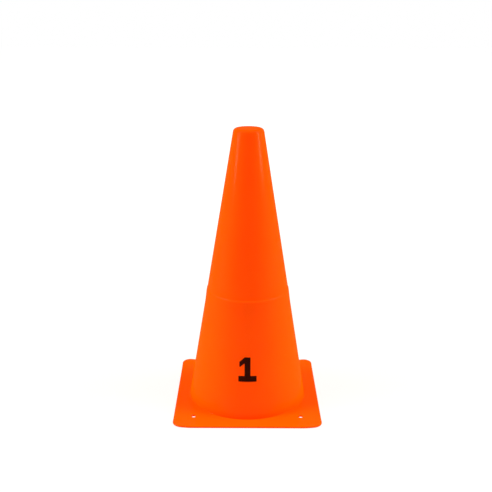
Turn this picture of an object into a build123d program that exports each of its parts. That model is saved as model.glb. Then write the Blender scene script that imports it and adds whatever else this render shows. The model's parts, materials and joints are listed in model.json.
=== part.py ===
"""Sports marker cone: a thin-walled moulded cone on a square flange, open underneath, with a printed numeral.

Millimetres. The origin is the centre of the flange's underside, +Z runs up the axis and the print faces -Y.
"""

from build123d import *
from math import sqrt
import os

# Overall form
HEIGHT = 300.0
FOOT_DIAMETER = 129.0  # outer wall carried down to the underside
TIP_DIAMETER = 31.0  # outer wall carried up to the top
WALL = 1.6  # measured square to the wall
CAP_THICKNESS = 2.0
CAP_ROUND = 4.0

# Square flange
FLANGE_MARGIN = 13.75  # foot of the wall to the middle of a side
FLANGE_THICKNESS = 1.8
FLANGE_CORNER_RADIUS = 10.0
FLANGE_EDGE_ROUND = 0.5
FOOT_FILLET = 1.2

# Peg holes, one near each corner of the flange
PEG_HOLE_DIAMETER = 5.0
PEG_HOLE_INSET = 21.25  # hole centre to both of the nearest edges

# Low bead round the wall
BEAD_LEVEL = 127.0
BEAD_WIDTH = 2.6
BEAD_PROUD = 0.3

# Printed numeral
INK_THICKNESS = 0.12
NUMERAL_LEVEL = 43.0  # foot of the numeral above the underside
NUMERAL_HEIGHT = 26.0
NUMERAL_STROKE = 6.0
NUMERAL_FOOT_WIDTH = 19.0
NUMERAL_FLAG_REACH = 5.5
NUMERAL_FLAG_DROP = 5.0
NUMERAL_CORNER = 0.6

# Worked out from the sizes above
FLANGE_WIDTH = FOOT_DIAMETER + 2 * FLANGE_MARGIN
PEG_HOLE_SPACING = FLANGE_WIDTH - 2 * PEG_HOLE_INSET
TAPER = (FOOT_DIAMETER - TIP_DIAMETER) / 2 / HEIGHT
SLANT = sqrt(1 + TAPER**2)  # a thickness square to the wall, times this, is its thickness level across

# Levels where the stretches of the moulding meet, on the straight wall clear of its roundings
FLANGE_SEAM = FLANGE_THICKNESS + FOOT_FILLET
BEAD_SEAM = BEAD_LEVEL + BEAD_WIDTH / 2
CAP_SEAM = HEIGHT - CAP_ROUND


def outer_wall(level, proud=0.0):
    """Point of the half section on the straight outer wall, or proud of it, at a height."""
    return (FOOT_DIAMETER / 2 - TAPER * level + proud * SLANT, level)


def inner_wall(level):
    """Point of the half section on the straight inner wall at a height."""
    return outer_wall(level, -WALL)


def rounded(section, corner, radius):
    """The flat section with its corner at a point rounded."""
    return fillet(section.vertices().sort_by_distance(corner)[0], radius)


def shell_section():
    """Half section of the shell, with the flange as a round blank that reaches past its corners."""
    blank_radius = FLANGE_WIDTH / sqrt(2)
    roof_level = HEIGHT - CAP_THICKNESS
    tip = outer_wall(HEIGHT)
    bead_top = outer_wall(BEAD_LEVEL + BEAD_WIDTH / 2)
    bead_crest = outer_wall(BEAD_LEVEL, BEAD_PROUD)
    bead_foot = outer_wall(BEAD_LEVEL - BEAD_WIDTH / 2)
    foot = outer_wall(FLANGE_THICKNESS)
    mouth = inner_wall(0)
    roof = inner_wall(roof_level)

    outline = Polyline((0, roof_level), (0, HEIGHT), tip, bead_top)
    outline += ThreePointArc(bead_top, bead_crest, bead_foot)
    outline += Polyline(bead_foot, foot, (blank_radius, FLANGE_THICKNESS), (blank_radius, 0), mouth)
    outline += Polyline(mouth, roof, (0, roof_level))

    section = make_face(outline.edges())
    section = rounded(section, tip, CAP_ROUND)
    section = rounded(section, roof, CAP_ROUND - WALL)
    section = rounded(section, foot, FOOT_FILLET)
    return rounded(section, mouth, FOOT_FILLET + WALL)


def make_shell():
    """Turned shell, trimmed to the square flange, with its rim eased and its peg holes cut."""
    shell = revolve(Plane.XZ * shell_section(), Axis.Z)
    shell &= extrude(RectangleRounded(FLANGE_WIDTH, FLANGE_WIDTH, FLANGE_CORNER_RADIUS), HEIGHT)
    underside, flange_top = shell.faces().filter_by(Axis.Z).sort_by(Axis.Z)[:2]
    rim = underside.outer_wire().edges() + flange_top.outer_wire().edges()
    shell = fillet(rim, FLANGE_EDGE_ROUND)
    peg = Cylinder(PEG_HOLE_DIAMETER / 2, 3 * FLANGE_THICKNESS)
    return shell - GridLocations(PEG_HOLE_SPACING, PEG_HOLE_SPACING, 2, 2) * peg


def slice_between(shell, low, high):
    """The stretch of the shell between two levels, cut square to the axis."""
    return shell & Pos(Z=(low + high) / 2) * Box(FLANGE_WIDTH, FLANGE_WIDTH, high - low)


def numeral_face():
    """Flat block numeral one, with a flag at its head and a bar for its foot."""
    half_stroke = NUMERAL_STROKE / 2
    half_foot = NUMERAL_FOOT_WIDTH / 2
    head = NUMERAL_LEVEL + NUMERAL_HEIGHT
    bar_top = NUMERAL_LEVEL + NUMERAL_STROKE
    flag_end = -half_stroke - NUMERAL_FLAG_REACH
    flag_level = head - NUMERAL_FLAG_DROP
    outline = Polyline(
        (-half_foot, NUMERAL_LEVEL),
        (half_foot, NUMERAL_LEVEL),
        (half_foot, bar_top),
        (half_stroke, bar_top),
        (half_stroke, head),
        (-half_stroke, head),
        (flag_end, flag_level),
        (flag_end, flag_level - NUMERAL_STROKE),
        (-half_stroke, head - NUMERAL_STROKE),
        (-half_stroke, bar_top),
        (-half_foot, bar_top),
        close=True,
    )
    face = make_face(outline.edges())
    return fillet(face.vertices(), NUMERAL_CORNER)


def make_front_numeral():
    """Ink film on the front of the wall: a thin conical skin cut to the numeral."""
    low = NUMERAL_LEVEL - NUMERAL_STROKE
    high = NUMERAL_LEVEL + NUMERAL_HEIGHT + NUMERAL_STROKE
    skin_section = make_face(
        Polyline(
            outer_wall(low),
            outer_wall(low, INK_THICKNESS),
            outer_wall(high, INK_THICKNESS),
            outer_wall(high),
            close=True,
        ).edges()
    )
    skin = revolve(Plane.XZ * skin_section, Axis.Z)
    return skin & extrude(Plane.XZ * numeral_face(), FOOT_DIAMETER)


def make_pieces():
    """The one moulding in four stretches that meet face to face, and the ink on it."""
    shell = make_shell()
    return {
        "base_flange": slice_between(shell, 0, FLANGE_SEAM),
        "lower_wall": slice_between(shell, FLANGE_SEAM, BEAD_SEAM),
        "upper_wall": slice_between(shell, BEAD_SEAM, CAP_SEAM),
        "top_cap": slice_between(shell, CAP_SEAM, HEIGHT),
        "front_numeral": make_front_numeral(),
    }


os.makedirs("parts", exist_ok=True)
for node, piece in make_pieces().items():
    export_step(piece, f"parts/{node}.step")
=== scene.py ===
"""Sports marker cone: the look of its moulded shell and its ink, in a plain studio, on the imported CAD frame.

Laid out as an add-on and run as a script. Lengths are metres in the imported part's own frame: the origin is
the centre of the flange's underside, +Z runs up the axis and the printed numeral faces -Y, to the camera.
"""

import json
from math import atan, cos, hypot, pi, radians, sin, sqrt

import bpy
import numpy as np
from bpy.props import FloatProperty, FloatVectorProperty, PointerProperty
from mathutils import Matrix, Vector


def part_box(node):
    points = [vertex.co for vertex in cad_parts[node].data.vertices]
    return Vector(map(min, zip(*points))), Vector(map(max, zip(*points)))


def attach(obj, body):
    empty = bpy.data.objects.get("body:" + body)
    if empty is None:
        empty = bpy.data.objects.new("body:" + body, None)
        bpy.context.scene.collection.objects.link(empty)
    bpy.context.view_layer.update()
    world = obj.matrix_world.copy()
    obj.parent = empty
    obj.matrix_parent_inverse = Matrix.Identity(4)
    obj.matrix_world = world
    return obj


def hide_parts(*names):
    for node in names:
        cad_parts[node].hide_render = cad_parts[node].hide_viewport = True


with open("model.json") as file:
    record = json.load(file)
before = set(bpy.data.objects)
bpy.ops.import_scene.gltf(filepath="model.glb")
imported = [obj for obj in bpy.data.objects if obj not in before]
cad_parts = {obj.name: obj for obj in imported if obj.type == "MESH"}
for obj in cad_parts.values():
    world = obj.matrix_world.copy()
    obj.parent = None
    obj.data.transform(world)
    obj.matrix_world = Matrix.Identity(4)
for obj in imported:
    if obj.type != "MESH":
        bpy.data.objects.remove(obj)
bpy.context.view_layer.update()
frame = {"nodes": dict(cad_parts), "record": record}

bl_info = {
    "name": "Sports Marker Cone",
    "version": (1, 0, 0),
    "blender": (4, 5, 0),
    "location": "View3D > Sidebar > Marker Cone",
    "description": "Builds the moulded shell, the printed numeral and the studio of a sports marker cone",
    "category": "Add Mesh",
}

BODY = "root"
MOULDING_NODES = ("base_flange", "lower_wall", "upper_wall", "top_cap")
NUMERAL_NODE = "front_numeral"
MILLIMETRE = 0.001

# Sizes that the frame holds
FLANGE_TOP_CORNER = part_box("base_flange")[1]
LOWER_WALL_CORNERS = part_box("lower_wall")
CAP_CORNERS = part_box("top_cap")
WALL_DROP = LOWER_WALL_CORNERS[1].x - CAP_CORNERS[1].x
TAPER = WALL_DROP / (CAP_CORNERS[0].z - LOWER_WALL_CORNERS[0].z)
PEG_HOLES = next(mount for mount in frame["record"]["mounts"] if mount["name"] == "peg_holes")["dims"]

# Steps of the shell's grid
SIDE_STEPS = 24
CORNER_STEPS = 10
ARC_STEPS = 12
BEAD_STEPS = 12
WALL_STEPS = 36
FACE_STEPS = 8
HOLE_STEPS = 20
RIM_STEPS = 4

# Slack at the ends of a hole, digits kept when points are joined, and the angle past which an edge is sharp
HOLE_SLACK = 0.001 * MILLIMETRE
WELD_DIGITS = 7
SHARP_EDGE = radians(40)

# Directions in the half section, and the flange's diagonal in plan
UP = pi / 2
DOWN = 1.5 * pi
DIAGONAL = pi / 4

# Detail of a noise, and the range in which nearly all of it lies
PLAIN_NOISE = 1.0
MIDDLE_NOISE = 2.0
RICH_NOISE = 3.0
NOISE_RANGE = (0.3, 0.7)

# Pairs of softboxes, and the one that the gloss mirrors
LAMP_PAIRS = ("front", "side", "high", "back")
MIRRORED_PAIR = "front"


def length(name, description, default):
    """A length property in metres."""
    return FloatProperty(
        name=name,
        description=description,
        default=default,
        min=0.0,
        subtype="DISTANCE",
        unit="LENGTH",
        precision=6,
    )


def share(name, description, default):
    """A property between nought and one."""
    return FloatProperty(
        name=name, description=description, default=default, min=0.0, max=1.0, subtype="FACTOR"
    )


def angle(name, description, default):
    """An angle property, with its default in degrees."""
    return FloatProperty(
        name=name, description=description, default=radians(default), subtype="ANGLE", unit="ROTATION"
    )


def level(name, description, default):
    """A plain number that isn't negative."""
    return FloatProperty(name=name, description=description, default=default, min=0.0)


def colour(name, description, default):
    """A linear colour property."""
    return FloatVectorProperty(
        name=name, description=description, default=default, size=3, min=0.0, max=1.0, subtype="COLOR"
    )


def lens_length(name, description, default):
    """A length inside the camera, in millimetres."""
    return FloatProperty(name=name, description=description, default=default, min=0.0, unit="CAMERA")


class ShellSizes(bpy.types.PropertyGroup):
    """Sizes of the moulded shell."""

    height: length("Height", "Underside to the top", CAP_CORNERS[1].z)
    foot_radius: length(
        "Foot radius",
        "Outer wall carried down to the underside",
        LOWER_WALL_CORNERS[1].x + TAPER * LOWER_WALL_CORNERS[0].z,
    )
    taper: level("Taper", "Fall of the wall's radius for each unit of height", TAPER)
    wall: length("Wall", "Thickness square to the wall", 1.6 * MILLIMETRE)
    cap_thickness: length("Cap thickness", "Thickness of the flat top", 2.0 * MILLIMETRE)
    crown_round: length("Crown round", "Rounding between wall and top", CAP_CORNERS[1].z - CAP_CORNERS[0].z)
    flange_reach: length("Flange reach", "Axis to the middle of a side", FLANGE_TOP_CORNER.x)
    flange_thickness: length("Flange thickness", "Thickness of the square flange", 1.8 * MILLIMETRE)
    flange_corner: length("Flange corner", "Radius of the flange's corners in plan", 10.0 * MILLIMETRE)
    flange_edge: length("Flange edge", "Rounding of the flange's rim", 0.5 * MILLIMETRE)
    curl_rise: length("Curl rise", "How far the tips of the flange's corners curl up", 0.9 * MILLIMETRE)
    curl_width: length("Curl width", "Width of a curled corner along the diagonal", 10.0 * MILLIMETRE)
    foot_fillet: length("Foot fillet", "Hollow between wall and flange", 0.5 * MILLIMETRE)
    bead_rise: length("Bead rise", "Height over which the bead swells out of the wall", 1.5 * MILLIMETRE)
    bead_fall: length("Bead fall", "Height over which the bead dies away below", 16.0 * MILLIMETRE)
    bead_proud: length("Bead proud", "How far the bead stands out", 0.48 * MILLIMETRE)
    bead_top: length("Bead top", "Level of the bead's upper edge", LOWER_WALL_CORNERS[1].z)
    hole_radius: length("Hole radius", "Radius of a peg hole", PEG_HOLES["hole_r_mm"] * MILLIMETRE)
    hole_distance: length(
        "Hole distance",
        "Axis to the centre of a peg hole",
        hypot(PEG_HOLES["spacing_x_mm"], PEG_HOLES["spacing_y_mm"]) / 2 * MILLIMETRE,
    )
    hole_spread: length("Hole spread", "How far beside a hole the grid makes way", 14.0 * MILLIMETRE)
    gate_radius: length("Gate radius", "Radius of the moulding gate's dish in the top", 2.4 * MILLIMETRE)
    gate_depth: length("Gate depth", "Depth of the moulding gate's dish", 0.3 * MILLIMETRE)


class PolyethyleneFinish(bpy.types.PropertyGroup):
    """Colours, gloss and fine relief of the soft orange plastic."""

    # The bright end also serves as painted light towards the underside, and the deep end as painted shade in
    # the crease at the foot; between them the clouds are the plastic's own tone
    deep: colour("Deep orange", "Colour where the pigment is dense", (1.0, 0.059, 0.0))
    bright: colour("Bright orange", "Colour where the pigment is thin", (1.0, 0.074, 0.0))
    clouding: share("Clouding", "Share of the colours' range that the clouds take", 0.2)
    cloud_scale: level("Cloud scale", "Clouds of the pigment to a metre", 45.0)
    # Painted light: the orange is made lighter towards the underside, up to this height
    painted_light_reach: length("Foot reach", "Height at which the pigment is as dense as above", 0.16)
    # Painted shade: the orange is kept deep in the crease where the wall meets the flange, up the wall to this
    # height
    painted_shade_reach: length("Crease reach", "How far up the wall its thick foot looks deep", 7.0 * MILLIMETRE)
    skin_thin: share("Thin skin", "Weight of the glossy moulded skin where it is rubbed", 0.0195)
    skin_full: share("Full skin", "Weight of the glossy moulded skin where it is whole", 0.0235)
    skin_scale: level("Skin scale", "Rubbed and whole patches of the skin to a metre", 140.0)
    skin_roughness: share("Skin roughness", "Roughness of the moulded skin", 0.1)
    skin_index: level("Skin index", "Refractive index of the skin; a higher one hazes the edges less", 2.2)
    ripple_scale: level("Ripple scale", "Ripples of the moulding to a metre", 60.0)
    ripple_depth: length("Ripple depth", "Depth of the ripples", 0.03 * MILLIMETRE)
    grain_scale: level("Grain scale", "Grains of the surface to a metre", 1600.0)
    grain_depth: length("Grain depth", "Depth of the grain", 0.003 * MILLIMETRE)


class InkFinish(bpy.types.PropertyGroup):
    """Colours, gloss and fine relief of the printed numeral."""

    dense: colour("Dense ink", "Colour where the ink lies thick", (0.018, 0.002, 0.001))
    thin: colour("Thin ink", "Warmer colour where the plastic shows through", (0.03, 0.003, 0.001))
    roughness: share("Roughness", "Roughness of the dry ink", 0.5)
    gloss: share("Gloss", "How much the dry ink mirrors", 0.02)
    film_scale: level("Film scale", "Thick and thin places of the film to a metre", 700.0)
    film_depth: length("Film depth", "Depth of the film's unevenness", 0.006 * MILLIMETRE)


class StudioSettings(bpy.types.PropertyGroup):
    """Camera, lights and floor."""

    camera_swing: angle("Camera swing", "Turn of the camera about the axis", -0.1046)
    camera_distance: length("Camera distance", "Level distance from the axis", 0.78681)
    camera_height: length("Camera height", "Height above the floor", 0.42827)
    camera_aside: FloatProperty(
        name="Camera aside", description="Sideways step of the camera", default=-0.00213, unit="LENGTH"
    )
    camera_tilt: angle("Camera tilt", "Downward tilt of the camera", 17.9167)
    camera_roll: angle("Camera roll", "Roll of the camera about its line of sight", 0.2812)
    camera_lens: lens_length("Lens", "Focal length of the camera", 56.742)
    camera_sensor: lens_length("Sensor", "Width of the camera's sensor", 36.0)
    light_distance: length("Light distance", "Middle of the object to the softboxes", 2.4)
    lamp_tint: colour("Lamp tint", "Colour of the lamps, a warm white", (1.0, 0.98, 0.75))
    lamp_turn: angle("Lamp turn", "Turn of all the softboxes about the axis", 1.5)
    front_swing: angle("Front box swing", "Turn of each front softbox from the camera's side", 74.0)
    front_rise: angle("Front box rise", "Height of each front softbox as an angle", 20.5)
    front_width: length("Front box width", "Width of each front softbox", 0.65)
    front_height: length("Front box height", "Height of each front softbox", 1.4)
    front_power: level("Front box power", "Power of each front softbox in watts", 45.0)
    side_swing: angle("Side box swing", "Turn of each side softbox from the camera's side", 94.0)
    side_rise: angle("Side box rise", "Height of each side softbox as an angle", 21.0)
    side_width: length("Side box width", "Width of each side softbox", 1.0)
    side_height: length("Side box height", "Height of each side softbox", 1.4)
    side_power: level("Side box power", "Power of each side softbox in watts", 43.0)
    high_swing: angle("High box swing", "Turn of each high softbox from the camera's side", 83.0)
    high_rise: angle("High box rise", "Height of each high softbox as an angle", 64.0)
    high_width: length("High box width", "Width of each high softbox", 0.6)
    high_height: length("High box height", "Height of each high softbox", 0.6)
    high_power: level("High box power", "Power of each high softbox in watts", 26.0)
    back_swing: angle("Back box swing", "Turn of each back softbox from the camera's side", 148.0)
    back_rise: angle("Back box rise", "Height of each back softbox as an angle", 8.0)
    back_width: length("Back box width", "Width of each back softbox", 1.1)
    back_height: length("Back box height", "Height of each back softbox", 1.1)
    back_power: level("Back box power", "Power of each back softbox in watts", 19.0)
    fill_level: level("Fill level", "Strength of the room's fill light on the object", 0.0)
    floor_reach: length("Floor reach", "Axis to the middle of a side of the floor", 6.0)
    floor_return: share("Floor return", "Share of its light that the floor throws at the object", 0.43)
    floor_seen: share("Floor seen", "Share of the lamps' light that the camera sees on the floor", 0.12)
    floor_white: share("Floor white", "The floor's own white beside the object, to the camera", 0.86)
    fade_start: length("Fade start", "Distance from the axis at which that white starts to grow", 0.25)
    fade_stop: length("Fade stop", "Distance from the axis at which that white is full", 0.9)


class MarkerConeSettings(bpy.types.PropertyGroup):
    """All settings of the marker cone."""

    shell: PointerProperty(type=ShellSizes)
    plastic: PointerProperty(type=PolyethyleneFinish)
    ink: PointerProperty(type=InkFinish)
    studio: PointerProperty(type=StudioSettings)


def slant(size):
    """Length of the sloping wall for each unit of height: sqrt(1 + taper^2)."""
    return sqrt(1 + size.taper**2)


def wall_radius(size, height, inwards=0.0):
    """Distance from the axis to the straight wall at a height, or to a parallel line inwards of it."""
    return size.foot_radius - size.taper * height - inwards * slant(size)


def swell(phase):
    """Half a cosine: one at a phase of nought, and nought at one and beyond, as (1 + cos(pi * phase)) / 2."""
    return 0.5 + 0.5 * np.cos(pi * np.minimum(phase, 1))


def arc(centre, radius, start, stop):
    """Points of an arc in the half section: centre + radius * (cos, sin) from a start to a stop angle."""
    turn = np.linspace(start, stop, ARC_STEPS + 1)
    return np.column_stack((centre[0] + radius * np.cos(turn), centre[1] + radius * np.sin(turn)))


def round_rows(points):
    """Grid rows of a stretch that is round in plan: (radius, height) with no share of the square."""
    return np.column_stack((points, np.zeros((len(points), 2))))


def square_rows(radius, height, square_share, inset):
    """Grid rows of the flange: a share of the way from a circle to the rounded square inset from the rim."""
    return np.column_stack(np.broadcast_arrays(radius, height, square_share, inset))


def diagonal_shares(size, radius):
    """Shares of the flange rows, finer across a peg hole.

    Along the diagonal a share s lies at radius + s * (corner reach - radius). The rows over a hole lie at
    hole distance - hole radius * cos(turn), with the turn from nought to a half circle.
    """
    reach = square_reach(size, DIAGONAL, size.flange_edge)
    turn = np.linspace(0, pi, HOLE_STEPS + 1)
    over_hole = (size.hole_distance - size.hole_radius * np.cos(turn) - radius) / (reach - radius)
    before = np.linspace(0, over_hole[0], FACE_STEPS, endpoint=False)
    after = np.linspace(over_hole[-1], 1, FACE_STEPS + 1)[1:]
    return np.concatenate((before, over_hole, after))


def top_face(size, edge):
    """Outer face of the top, from the axis to its edge: level, with the gate's dish sunk by half a cosine."""
    gate_line = np.linspace(0, size.gate_radius, FACE_STEPS + 1)
    face_line = np.linspace(size.gate_radius, edge, FACE_STEPS, endpoint=False)[1:]
    line = np.concatenate((gate_line, face_line))
    return np.column_stack((line, size.height - size.gate_depth * swell(line / size.gate_radius)))


def outer_wall(size, top, foot):
    """Outer wall between two heights: a straight line that falls, with the bead on it.

    The bead is half a cosine from its upper edge out to the crest, and a longer half back into the wall.
    """
    crest = size.bead_top - size.bead_rise
    bead_foot = crest - size.bead_fall
    heights = np.concatenate(
        (
            np.linspace(top, size.bead_top, WALL_STEPS + 1)[1:-1],
            np.linspace(size.bead_top, crest, BEAD_STEPS, endpoint=False),
            np.linspace(crest, bead_foot, BEAD_STEPS + 1),
            np.linspace(bead_foot, foot, WALL_STEPS + 1)[1:-1],
        )
    )
    below_crest = (crest - heights) / size.bead_fall
    above_crest = (heights - crest) / size.bead_rise
    bead = size.bead_proud * slant(size) * swell(np.maximum(below_crest, above_crest))
    return np.column_stack((wall_radius(size, heights) + bead, heights))


def inner_wall(size, foot, top):
    """Inner wall between two heights: the outer line moved in by the wall's thickness."""
    heights = np.linspace(foot, top, WALL_STEPS + 1)[1:-1]
    return np.column_stack((wall_radius(size, heights, size.wall), heights))


def roof_face(edge, height):
    """Level inner face of the top, from its edge to the axis."""
    line = np.linspace(edge, 0, FACE_STEPS + 1)[1:]
    return np.column_stack((line, np.full_like(line, height)))


def half_section(size):
    """Rows of the grid from the middle of the top, down the outside, round the rim and up the inside.

    Each row is (radius, height, share, inset). Arcs join the straight stretches: the crown, the foot's
    hollow, the rim, the mouth and the roof's edge.
    """
    lean = atan(size.taper)

    crown_level = size.height - size.crown_round
    crown_centre = (wall_radius(size, crown_level, size.crown_round), crown_level)
    crown = arc(crown_centre, size.crown_round, UP, lean)

    fillet_level = size.flange_thickness + size.foot_fillet
    fillet_centre = (wall_radius(size, fillet_level, -size.foot_fillet), fillet_level)
    fillet = arc(fillet_centre, size.foot_fillet, pi + lean, DOWN)

    mouth_round = size.foot_fillet + size.wall
    mouth_centre = (wall_radius(size, mouth_round, size.wall - mouth_round), mouth_round)
    mouth = arc(mouth_centre, mouth_round, DOWN, pi + lean)

    roof_round = size.crown_round - size.wall
    roof_level = size.height - size.cap_thickness
    roof_centre = (wall_radius(size, roof_level - roof_round, size.crown_round), roof_level - roof_round)
    inner_crown = arc(roof_centre, roof_round, lean, UP)

    flange_shares = diagonal_shares(size, fillet_centre[0])
    underside_shares = diagonal_shares(size, mouth_centre[0])
    turn = np.linspace(UP, 0, RIM_STEPS + 1)
    rim_inset = size.flange_edge * (1 - np.cos(turn))
    rim_rise = size.flange_edge * (1 - np.sin(turn))

    return np.concatenate(
        (
            round_rows(top_face(size, crown_centre[0])),
            round_rows(crown),
            round_rows(outer_wall(size, crown[-1, 1], fillet[0, 1])),
            round_rows(fillet[:-1]),
            square_rows(fillet_centre[0], size.flange_thickness, flange_shares, size.flange_edge),
            square_rows(0, size.flange_thickness - rim_rise[1:], 1, rim_inset[1:]),
            square_rows(0, rim_rise[:0:-1], 1, rim_inset[:0:-1]),
            square_rows(mouth_centre[0], 0, underside_shares[::-1], size.flange_edge),
            round_rows(mouth[1:]),
            round_rows(inner_wall(size, mouth[-1, 1], inner_crown[0, 1])),
            round_rows(inner_crown),
            round_rows(roof_face(roof_centre[0], roof_level)),
        )
    )


def side_angles(size):
    """Angles of the grid's columns across one side of the flange, from corner to corner.

    Half of a side is even steps along the straight, then even turns round the corner's arc to the diagonal.
    """
    straight = size.flange_reach - size.flange_corner
    turn = np.linspace(0, DIAGONAL, CORNER_STEPS + 1)[1:]
    steps = np.linspace(0, straight, SIDE_STEPS + 1)
    side = np.full_like(steps, size.flange_reach)
    across = np.concatenate((side, straight + size.flange_corner * np.cos(turn)))
    along = np.concatenate((steps, straight + size.flange_corner * np.sin(turn)))
    half = np.arctan2(along, across)
    return np.concatenate((-half[:0:-1], half))


def square_reach(size, turn, inset):
    """Distance from the axis to the inset rounded square, at an angle from the middle of a side.

    The angle is an eighth turn at most. On the straight the distance is half the width / cos(angle), and in
    a corner it is where the ray leaves the corner's circle.
    """
    straight = size.flange_reach - size.flange_corner
    side = (size.flange_reach - inset) / np.cos(turn)
    along = straight * (np.cos(turn) + np.abs(np.sin(turn)))
    beyond = along**2 - 2 * straight**2 + (size.flange_corner - inset) ** 2
    corner = along + np.sqrt(np.maximum(beyond, 0))
    return np.where(side * np.abs(np.sin(turn)) <= straight, side, corner)


def open_peg_holes(size, points):
    """Moves the flange's points aside so that a round hole opens on each diagonal.

    With a along the diagonal from the hole's centre and b square to it, b grows by
    sqrt(hole radius^2 - a^2) * (1 - b / spread)^2, which puts the diagonal's points on the hole's circle.
    """
    flat = np.abs(points[..., 1])
    off_centre = (points[..., 0] + flat) / sqrt(2) - size.hole_distance
    beside = (points[..., 0] - flat) / sqrt(2)
    half_chord = np.sqrt(np.maximum(size.hole_radius**2 - off_centre**2, 0))
    half_chord[np.abs(off_centre) > size.hole_radius - HOLE_SLACK] = 0
    push = half_chord * np.maximum(1 - beside / size.hole_spread, 0) ** 2 / sqrt(2)
    moved = points.copy()
    moved[..., 0] += push
    moved[..., 1] = np.sign(points[..., 1]) * (flat - push)
    return moved


def curl_corners(size, points):
    """Lifts the tips of the flange's corners.

    With d along the diagonal, the tip at d1 and the curl starting at d0 = d1 - width, a point rises by
    rise * t^2 * (3 - 2 t), where t = (d - d0) / width, held between nought and one.
    """
    tip = square_reach(size, DIAGONAL, 0.0)
    diagonal = (points[..., 0] + np.abs(points[..., 1])) / sqrt(2)
    share_of_curl = np.clip((diagonal - tip) / size.curl_width + 1, 0, 1)
    lifted = points.copy()
    lifted[..., 2] += size.curl_rise * share_of_curl**2 * (3 - 2 * share_of_curl)
    return lifted


def quarter_grid(size):
    """Points of the shell over one side of the flange, as rows of the section by columns of angles.

    A point lies at (1 - share) * radius + share * square reach from the axis.
    """
    rows = half_section(size)
    columns = side_angles(size)
    radius, height, square_share, inset = (column[:, None] for column in rows.T)
    cosine = np.cos(columns)
    sine = np.sin(columns)
    sine[0] = -cosine[0]
    sine[-1] = cosine[-1]
    reach = (1 - square_share) * radius + square_share * square_reach(size, columns[None, :], inset)
    points = np.stack((reach * cosine, reach * sine, np.broadcast_to(height, reach.shape)), axis=-1)
    on_flange = (square_share[:, 0] > 0) & (square_share[:, 0] < 1)
    points[on_flange] = open_peg_holes(size, points[on_flange])
    return curl_corners(size, points), rows


def grid_quads(index):
    """Quads of an index grid, whose normals point to where the rows cross the columns by the right hand."""
    corners = (index[:-1, :-1], index[1:, :-1], index[1:, 1:], index[:-1, 1:])
    return np.stack(corners, axis=-1).reshape(-1, 4)


def hole_rows(size, rows, face_level):
    """Numbers of the rows over a peg hole on the flange's face at a level, from the axis outwards."""
    radius, height, square_share, inset = rows.T
    along = (1 - square_share) * radius + square_share * square_reach(size, DIAGONAL, inset)
    on_face = (square_share > 0) & (square_share < 1) & (height == face_level)
    near_hole = np.abs(along - size.hole_distance) < size.hole_radius + HOLE_SLACK
    over = np.flatnonzero(on_face & near_hole)
    return over[np.argsort(along[over])]


def shell_faces(size, rows, column_count):
    """Quads of one quarter: the grid, and the walls of its two half holes from the top to the underside."""
    index = np.arange(len(rows) * column_count).reshape(len(rows), column_count)
    above = hole_rows(size, rows, size.flange_thickness)
    below = hole_rows(size, rows, 0)
    first_wall = grid_quads(np.stack((index[above, 0], index[below, 0])))
    last_wall = grid_quads(np.stack((index[below, -1], index[above, -1])))
    return np.concatenate((grid_quads(index), first_wall, last_wall))


def weld(points, quads):
    """Joins the points that coincide, and splits the quads into whole ones and the triangles at the poles."""
    kept, inverse = np.unique(np.round(points, WELD_DIGITS) + 0.0, axis=0, return_inverse=True)
    quads = inverse.reshape(-1)[quads]
    pole_above = quads[:, 0] == quads[:, 3]
    pole_below = quads[:, 1] == quads[:, 2]
    whole = quads[~(pole_above | pole_below)]
    return kept, whole.tolist() + quads[pole_above][:, :3].tolist() + quads[pole_below][:, [0, 1, 3]].tolist()


def make_shell(size):
    """The whole moulding: one quarter of the grid, turned four times about the axis and welded."""
    points, rows = quarter_grid(size)
    quads = shell_faces(size, rows, points.shape[1])
    quarter = points.reshape(-1, 3)
    x, y, z = quarter.T
    turns = ((x, y), (-y, x), (-x, -y), (y, -x))
    turned = np.concatenate([np.column_stack((*pair, z)) for pair in turns])
    all_quads = np.concatenate([quads + turn * len(quarter) for turn in range(len(turns))])
    kept, faces = weld(turned, all_quads)
    mesh = bpy.data.meshes.new("cone_shell")
    mesh.from_pydata(kept, [], faces)
    mesh.polygons.foreach_set("use_smooth", np.ones(len(mesh.polygons), dtype=bool))
    mesh.set_sharp_from_angle(angle=SHARP_EDGE)
    mesh.validate()
    shell = bpy.data.objects.new("cone_shell", mesh)
    bpy.context.scene.collection.objects.link(shell)
    return shell


def empty_tree(owner):
    """The node tree of a material or a world, without its nodes."""
    owner.use_nodes = True
    owner.node_tree.nodes.clear()
    return owner.node_tree


def new_material(name):
    """A node material with its tree, and a Principled shader that is joined to its output."""
    material = bpy.data.materials.new(name)
    tree = empty_tree(material)
    shader = tree.nodes.new("ShaderNodeBsdfPrincipled")
    output = tree.nodes.new("ShaderNodeOutputMaterial")
    tree.links.new(shader.outputs["BSDF"], output.inputs["Surface"])
    return material, tree, shader


def object_place(tree):
    """The object's own coordinates of a point."""
    return tree.nodes.new("ShaderNodeTexCoord").outputs["Object"]


def height_above(tree, place):
    """The height part of a coordinate."""
    axes = tree.nodes.new("ShaderNodeSeparateXYZ")
    tree.links.new(place, axes.inputs["Vector"])
    return axes.outputs["Z"]


def distance_from_axis(tree, place):
    """The level distance of a coordinate from the axis: the length of (x, y, 0)."""
    flat = tree.nodes.new("ShaderNodeVectorMath")
    flat.operation = "MULTIPLY"
    flat.inputs[1].default_value = (1, 1, 0)
    tree.links.new(place, flat.inputs[0])
    reach = tree.nodes.new("ShaderNodeVectorMath")
    reach.operation = "LENGTH"
    tree.links.new(flat.outputs["Vector"], reach.inputs[0])
    return reach.outputs["Value"]


def noise(tree, place, scale, detail):
    """A noise texture on a coordinate, with its scale in features for each metre."""
    texture = tree.nodes.new("ShaderNodeTexNoise")
    texture.inputs["Scale"].default_value = scale
    texture.inputs["Detail"].default_value = detail
    tree.links.new(place, texture.inputs["Vector"])
    return texture.outputs["Fac"]


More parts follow.
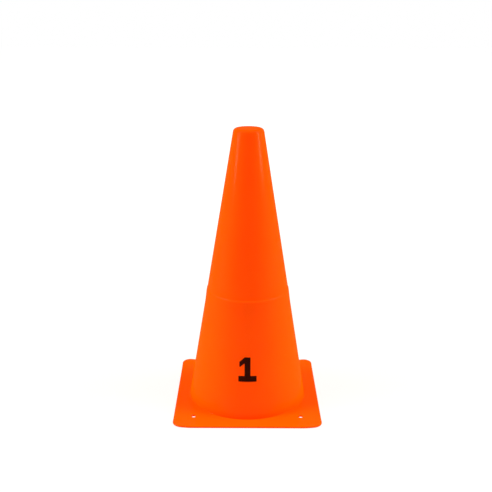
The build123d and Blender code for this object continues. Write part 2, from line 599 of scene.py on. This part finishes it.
def remap(tree, value, source, target, easing="LINEAR"):
    """A value carried from a source range to a target range, and held at its ends."""
    mapped = tree.nodes.new("ShaderNodeMapRange")
    mapped.interpolation_type = easing
    for limit, number in zip(("From Min", "From Max", "To Min", "To Max"), (*source, *target)):
        mapped.inputs[limit].default_value = number
    tree.links.new(value, mapped.inputs["Value"])
    return mapped.outputs["Result"]


def combine(tree, operation, first, second):
    """Two values brought together by a plain sum, product or larger of the two."""
    node = tree.nodes.new("ShaderNodeMath")
    node.operation = operation
    tree.links.new(first, node.inputs[0])
    tree.links.new(second, node.inputs[1])
    return node.outputs["Value"]


def blend_colours(tree, factor, low, high):
    """A colour ramp between two colours, for a factor from nought to one."""
    ramp = tree.nodes.new("ShaderNodeValToRGB")
    ramp.color_ramp.elements[0].color = (*low, 1)
    ramp.color_ramp.elements[1].color = (*high, 1)
    tree.links.new(factor, ramp.inputs["Fac"])
    return ramp.outputs["Color"]


def bump(tree, height, depth, under=None):
    """A bump of a depth in metres, on top of another one where there is one."""
    node = tree.nodes.new("ShaderNodeBump")
    node.inputs["Strength"].default_value = 1.0
    node.inputs["Distance"].default_value = depth
    tree.links.new(height, node.inputs["Height"])
    if under is not None:
        tree.links.new(under, node.inputs["Normal"])
    return node.outputs["Normal"]


def painted_foot_light(tree, place, finish):
    """Painted light: how much lighter the orange is made, most at the underside and none above the reach of
    the painted light.
    """
    most = 1.0 - finish.clouding
    return remap(tree, height_above(tree, place), (0.0, finish.painted_light_reach), (most, 0.0))


def clear_of_painted_crease_shade(tree, place, finish, size):
    """Mask of the painted shade in the crease: nought where the wall meets the flange, where the orange is
    kept deep, and one up the wall and on the flange.
    """
    foot = wall_radius(size, size.flange_thickness)
    foot_level = size.flange_thickness + size.foot_fillet
    up_wall = (foot_level, foot_level + finish.painted_shade_reach)
    onto_flange = (foot, foot + size.foot_fillet)
    up = remap(tree, height_above(tree, place), up_wall, (0.0, 1.0), "SMOOTHSTEP")
    out = remap(tree, distance_from_axis(tree, place), onto_flange, (0.0, 1.0), "SMOOTHSTEP")
    return combine(tree, "MAXIMUM", up, out)


def polyethylene(finish, size):
    """Soft orange plastic under a glossy moulded skin.

    Its colour has faint clouds, painted light that makes it lighter towards the underside, and painted shade
    that makes it deeper in the crease where the wall meets the flange. Its skin is rubbed in patches, grained
    and slightly rippled, and alone gives the gloss.
    """
    material, tree, shader = new_material("orange_polyethylene")
    place = object_place(tree)
    clouds = noise(tree, place, finish.cloud_scale, RICH_NOISE)
    patches = noise(tree, place, finish.skin_scale, MIDDLE_NOISE)
    ripples = noise(tree, place, finish.ripple_scale, PLAIN_NOISE)
    grain = noise(tree, place, finish.grain_scale, MIDDLE_NOISE)
    clouded = remap(tree, clouds, NOISE_RANGE, (0.0, finish.clouding))
    # Painted light towards the underside and painted shade in the crease go into the colour with the clouds
    clouds_painted_light_and_shade = combine(tree, "ADD", clouded, painted_foot_light(tree, place, finish))
    clouds_painted_light_and_shade = combine(tree, "MULTIPLY", clouds_painted_light_and_shade, clear_of_painted_crease_shade(tree, place, finish, size))
    skin = remap(tree, patches, NOISE_RANGE, (finish.skin_thin, finish.skin_full))
    rippled = bump(tree, ripples, finish.ripple_depth)
    tree.links.new(blend_colours(tree, clouds_painted_light_and_shade, finish.deep, finish.bright), shader.inputs["Base Color"])
    tree.links.new(skin, shader.inputs["Coat Weight"])
    tree.links.new(bump(tree, grain, finish.grain_depth, rippled), shader.inputs["Normal"])
    shader.inputs["Specular IOR Level"].default_value = 0.0
    shader.inputs["Coat Roughness"].default_value = finish.skin_roughness
    shader.inputs["Coat IOR"].default_value = finish.skin_index
    return material


def printing_ink(finish):
    """Dry black ink: thin enough to warm over the orange, with an uneven film."""
    material, tree, shader = new_material("black_ink")
    film = noise(tree, object_place(tree), finish.film_scale, RICH_NOISE)
    cover = remap(tree, film, NOISE_RANGE, (0.0, 1.0))
    tree.links.new(blend_colours(tree, cover, finish.dense, finish.thin), shader.inputs["Base Color"])
    tree.links.new(bump(tree, film, finish.film_depth), shader.inputs["Normal"])
    shader.inputs["Roughness"].default_value = finish.roughness
    shader.inputs["Specular IOR Level"].default_value = finish.gloss
    return material


def grey(value):
    """An opaque grey."""
    return (value, value, value, 1)


def join_by_sight(tree, lit, seen, output):
    """Joins an output to one shader for what is seen directly, and to another for the light on the object.

    Seen directly are rays from the camera, a mirror or glass.
    """
    path = tree.nodes.new("ShaderNodeLightPath")
    direct = combine(tree, "MAXIMUM", path.outputs["Is Camera Ray"], path.outputs["Is Glossy Ray"])
    direct = combine(tree, "MAXIMUM", direct, path.outputs["Is Transmission Ray"])
    choose = tree.nodes.new("ShaderNodeMixShader")
    tree.links.new(direct, choose.inputs["Fac"])
    tree.links.new(lit, choose.inputs[1])
    tree.links.new(seen, choose.inputs[2])
    tree.links.new(choose.outputs["Shader"], output.inputs["Surface"])


def floor_material(settings):
    """White floor: pale and diffuse to the light on the object, and near white to the camera.

    To the camera its own white grows to full over the fade, and a faint diffuse part on top takes the shadow.
    """
    material = bpy.data.materials.new("studio_floor")
    tree = empty_tree(material)
    output = tree.nodes.new("ShaderNodeOutputMaterial")
    pale = tree.nodes.new("ShaderNodeBsdfDiffuse")
    pale.inputs["Color"].default_value = grey(settings.floor_return)
    faint = tree.nodes.new("ShaderNodeBsdfDiffuse")
    faint.inputs["Color"].default_value = grey(settings.floor_seen)
    white = tree.nodes.new("ShaderNodeEmission")
    distance = distance_from_axis(tree, object_place(tree))
    fade = remap(tree, distance, (settings.fade_start, settings.fade_stop), (settings.floor_white, 1.0))
    tree.links.new(fade, white.inputs["Strength"])
    seen = tree.nodes.new("ShaderNodeAddShader")
    tree.links.new(white.outputs["Emission"], seen.inputs[0])
    tree.links.new(faint.outputs["BSDF"], seen.inputs[1])
    join_by_sight(tree, pale.outputs["BSDF"], seen.outputs["Shader"], output)
    return material


def make_floor(settings):
    """Flat square floor under the object: the grid (x, y, 0) over its corners."""
    reach = settings.floor_reach
    corners = np.array([[-reach, -reach, 0], [reach, -reach, 0], [reach, reach, 0], [-reach, reach, 0]])
    mesh = bpy.data.meshes.new("studio_floor")
    mesh.from_pydata(corners, [], [[0, 1, 2, 3]])
    mesh.materials.append(floor_material(settings))
    floor = bpy.data.objects.new("studio_floor", mesh)
    bpy.context.scene.collection.objects.link(floor)


def make_world(settings):
    """Room: white to the camera, a mirror or glass, and an even fill of a set level to the object."""
    world = bpy.data.worlds.new("studio_room")
    tree = empty_tree(world)
    output = tree.nodes.new("ShaderNodeOutputWorld")
    fill = tree.nodes.new("ShaderNodeBackground")
    fill.inputs["Strength"].default_value = settings.fill_level
    white = tree.nodes.new("ShaderNodeBackground")
    for background in (fill, white):
        background.inputs["Color"].default_value = grey(1.0)
    join_by_sight(tree, fill.outputs["Background"], white.outputs["Background"], output)
    bpy.context.scene.world = world


def make_panel_light(name, place, target, width, height, power, tint, mirrored):
    """An upright rectangular area light at a place, facing a target, which gloss mirrors or doesn't."""
    light = bpy.data.lights.new(name, "AREA")
    light.shape = "RECTANGLE"
    light.size = width
    light.size_y = height
    light.energy = power
    light.color = tint
    lamp = bpy.data.objects.new(name, light)
    facing = (Vector(target) - Vector(place)).to_track_quat("-Z", "Y")
    lamp.matrix_world = Matrix.Translation(place) @ facing.to_matrix().to_4x4()
    lamp.visible_glossy = mirrored
    bpy.context.scene.collection.objects.link(lamp)


def make_lights(settings, object_height):
    """A front, side, high and back softbox on each side of the camera, all facing the middle of the object.

    Each stands at a distance, turn and rise from that middle. The gloss mirrors one pair alone.
    """
    middle = (0, 0, object_height / 2)
    for pair in LAMP_PAIRS:
        swing, rise, width, height, power = (
            getattr(settings, f"{pair}_{part}") for part in ("swing", "rise", "width", "height", "power")
        )
        out = settings.light_distance * cos(rise)
        up = middle[2] + settings.light_distance * sin(rise)
        mirrored = pair == MIRRORED_PAIR
        for side, turn in (("left", settings.lamp_turn - swing), ("right", settings.lamp_turn + swing)):
            place = (out * sin(turn), -out * cos(turn), up)
            name = f"{pair}_softbox_{side}"
            make_panel_light(name, place, middle, width, height, power, settings.lamp_tint, mirrored)


def make_camera(settings):
    """Camera on the print's side: a step back, aside and up, tilted down, rolled and swung about the axis."""
    lens = bpy.data.cameras.new("photo_camera")
    lens.sensor_width = settings.camera_sensor
    lens.sensor_fit = "HORIZONTAL"
    lens.lens = settings.camera_lens
    camera = bpy.data.objects.new("photo_camera", lens)
    stand = Matrix.Translation((settings.camera_aside, -settings.camera_distance, settings.camera_height))
    swing = Matrix.Rotation(settings.camera_swing, 4, "Z")
    tilt = Matrix.Rotation(pi / 2 - settings.camera_tilt, 4, "X")
    roll = Matrix.Rotation(settings.camera_roll, 4, "Z")
    camera.matrix_world = swing @ stand @ tilt @ roll
    bpy.context.scene.collection.objects.link(camera)
    bpy.context.scene.camera = camera


class MARKERCONE_OT_shell(bpy.types.Operator):
    """Build the moulded shell in one seamless piece, which stands for the four stretches of the moulding."""

    bl_idname = "marker_cone.shell"
    bl_label = "Moulded Shell"

    def execute(self, context):
        settings = context.scene.marker_cone
        shell = make_shell(settings.shell)
        shell.data.materials.append(polyethylene(settings.plastic, settings.shell))
        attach(shell, BODY)
        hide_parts(*MOULDING_NODES)
        return {"FINISHED"}


class MARKERCONE_OT_numeral(bpy.types.Operator):
    """Give the printed numeral its ink."""

    bl_idname = "marker_cone.numeral"
    bl_label = "Printed Numeral"

    def execute(self, context):
        numeral = frame["nodes"][NUMERAL_NODE]
        numeral.material_slots[0].material = printing_ink(context.scene.marker_cone.ink)
        return {"FINISHED"}


class MARKERCONE_OT_studio(bpy.types.Operator):
    """Set the floor, the room, the lights and the camera."""

    bl_idname = "marker_cone.studio"
    bl_label = "Studio"

    def execute(self, context):
        settings = context.scene.marker_cone
        make_floor(settings.studio)
        make_world(settings.studio)
        make_lights(settings.studio, settings.shell.height)
        make_camera(settings.studio)
        context.scene.view_settings.view_transform = "Standard"
        return {"FINISHED"}


class MARKERCONE_PT_build(bpy.types.Panel):
    """Sidebar panel with the settings and the steps of the build."""

    bl_label = "Marker Cone"
    bl_space_type = "VIEW_3D"
    bl_region_type = "UI"
    bl_category = "Marker Cone"

    def draw(self, context):
        settings = context.scene.marker_cone
        for name, operator in (
            ("shell", MARKERCONE_OT_shell),
            ("plastic", None),
            ("ink", MARKERCONE_OT_numeral),
            ("studio", MARKERCONE_OT_studio),
        ):
            box = self.layout.box()
            group = getattr(settings, name)
            for key in group.bl_rna.properties.keys():
                if key not in ("rna_type", "name"):
                    box.prop(group, key)
            if operator is not None:
                box.operator(operator.bl_idname)


CLASSES = (
    ShellSizes,
    PolyethyleneFinish,
    InkFinish,
    StudioSettings,
    MarkerConeSettings,
    MARKERCONE_OT_shell,
    MARKERCONE_OT_numeral,
    MARKERCONE_OT_studio,
    MARKERCONE_PT_build,
)


def register():
    """Add the classes and the scene's settings."""
    for item in CLASSES:
        bpy.utils.register_class(item)
    bpy.types.Scene.marker_cone = PointerProperty(type=MarkerConeSettings)


def unregister():
    """Take the settings and the classes away again."""
    del bpy.types.Scene.marker_cone
    for item in reversed(CLASSES):
        bpy.utils.unregister_class(item)


def main():
    register()
    bpy.ops.marker_cone.shell()
    bpy.ops.marker_cone.numeral()
    bpy.ops.marker_cone.studio()


if __name__ == "__main__":
    main()
